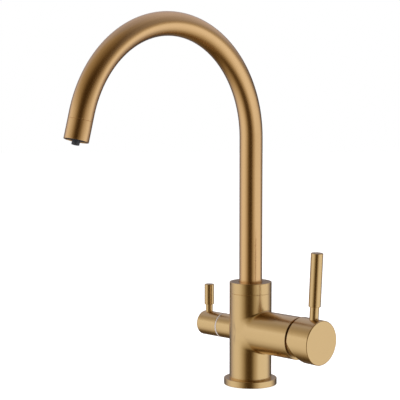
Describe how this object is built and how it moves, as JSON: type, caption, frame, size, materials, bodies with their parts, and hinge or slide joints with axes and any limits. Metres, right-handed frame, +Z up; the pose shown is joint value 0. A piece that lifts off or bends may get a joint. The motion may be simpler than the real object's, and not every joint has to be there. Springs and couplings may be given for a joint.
{
  "type": "three way filtered water tap",
  "caption": "Swan neck kitchen mixer tap with a swivelling spout, a side lever for hot and cold water, a small lever for filtered water and a separate filtered water nozzle.",
  "frame": {"origin": "centre of the foot, on the worktop", "axes": "+Z up out of the worktop, -Y along the spout's reach at rest, +X along the mixer arm, -X along the filter arm"},
  "size_m": [0.1604, 0.261, 0.3686],
  "materials": {
    "brushed_gold": "satin, fine brushed",
    "inner_brass": "machined",
    "cover_brass": "satin",
    "pale_ring": "matte",
    "dark_insert": "matte",
    "grey_nozzle": "matte",
    "seal_rubber": "matte",
    "bush_plastic": "matte",
    "cartridge_plastic": "matte",
    "ceramic": "polished",
    "steel": "satin",
    "water_tube": "smooth"
  },
  "bodies": {
    "root": {"base_ring": "brushed_gold", "base_gasket": "seal_rubber", "inlet_block": "inner_brass", "body_casting": "brushed_gold", "lower_swivel_bush": "bush_plastic", "upper_swivel_bush": "bush_plastic", "spout_collar": "brushed_gold", "filter_feed_spigot": "inner_brass", "feed_seal": "seal_rubber", "cartridge_base": "cartridge_plastic", "cartridge_seals": "seal_rubber", "fixed_ceramic_disc": "ceramic", "cartridge_housing": "cartridge_plastic", "cartridge_nut": "inner_brass", "cartridge_cover": "cover_brass", "filter_valve_seal": "seal_rubber", "filter_fixed_disc": "ceramic", "filter_valve_body": "inner_brass", "spindle_seal": "seal_rubber", "filter_glide_ring": "pale_ring"},
    "spout": {"spout_spigot": "inner_brass", "spout_seals": "seal_rubber", "spout_tube": "brushed_gold", "spout_tip": "brushed_gold", "aerator_insert": "dark_insert", "flow_screen": "steel", "tip_seal": "seal_rubber", "filter_nozzle": "grey_nozzle", "inner_filter_tube": "water_tube"},
    "mixer_turret": {"cartridge_turret": "cartridge_plastic", "pivot_pin": "steel"},
    "flow_disc": {"moving_ceramic_disc": "ceramic", "disc_carrier": "cartridge_plastic"},
    "mixer_handle": {"cartridge_stem": "steel", "mixer_cap": "brushed_gold", "mixer_lever": "brushed_gold", "mixer_grub_screw": "steel"},
    "filter_handle": {"filter_moving_disc": "ceramic", "filter_spindle": "inner_brass", "spindle_clip": "steel", "filter_knob": "brushed_gold", "filter_lever": "brushed_gold", "filter_grub_screw": "steel"}
  },
  "joints": [
    {"name": "spout_swivel", "type": "hinge", "parent": "root", "child": "spout", "pos_m": [0, 0, 0.0924], "axis": [0, 0, 1], "continuous": true},
    {"name": "mixer_turn", "type": "hinge", "parent": "root", "child": "mixer_turret", "pos_m": [0, 0, 0.0543], "axis": [1, 0, 0], "range_deg": [-50, 50]},
    {"name": "mixer_tilt", "type": "hinge", "parent": "mixer_turret", "child": "mixer_handle", "pos_m": [0.0585, 0, 0.0543], "axis": [0, 1, 0], "range_deg": [0, 25]},
    {"name": "disc_slide", "type": "slide", "parent": "mixer_turret", "child": "flow_disc", "axis": [0, 0, 1], "range_m": [0, 0.00518]},
    {"name": "filter_turn", "type": "hinge", "parent": "root", "child": "filter_handle", "pos_m": [0, 0, 0.0543], "axis": [1, 0, 0], "range_deg": [0, 90]}
  ],
  "couplings": [
    {"joint": "disc_slide", "follows": "mixer_tilt", "m_per_rad": 0.011561}
  ]
}
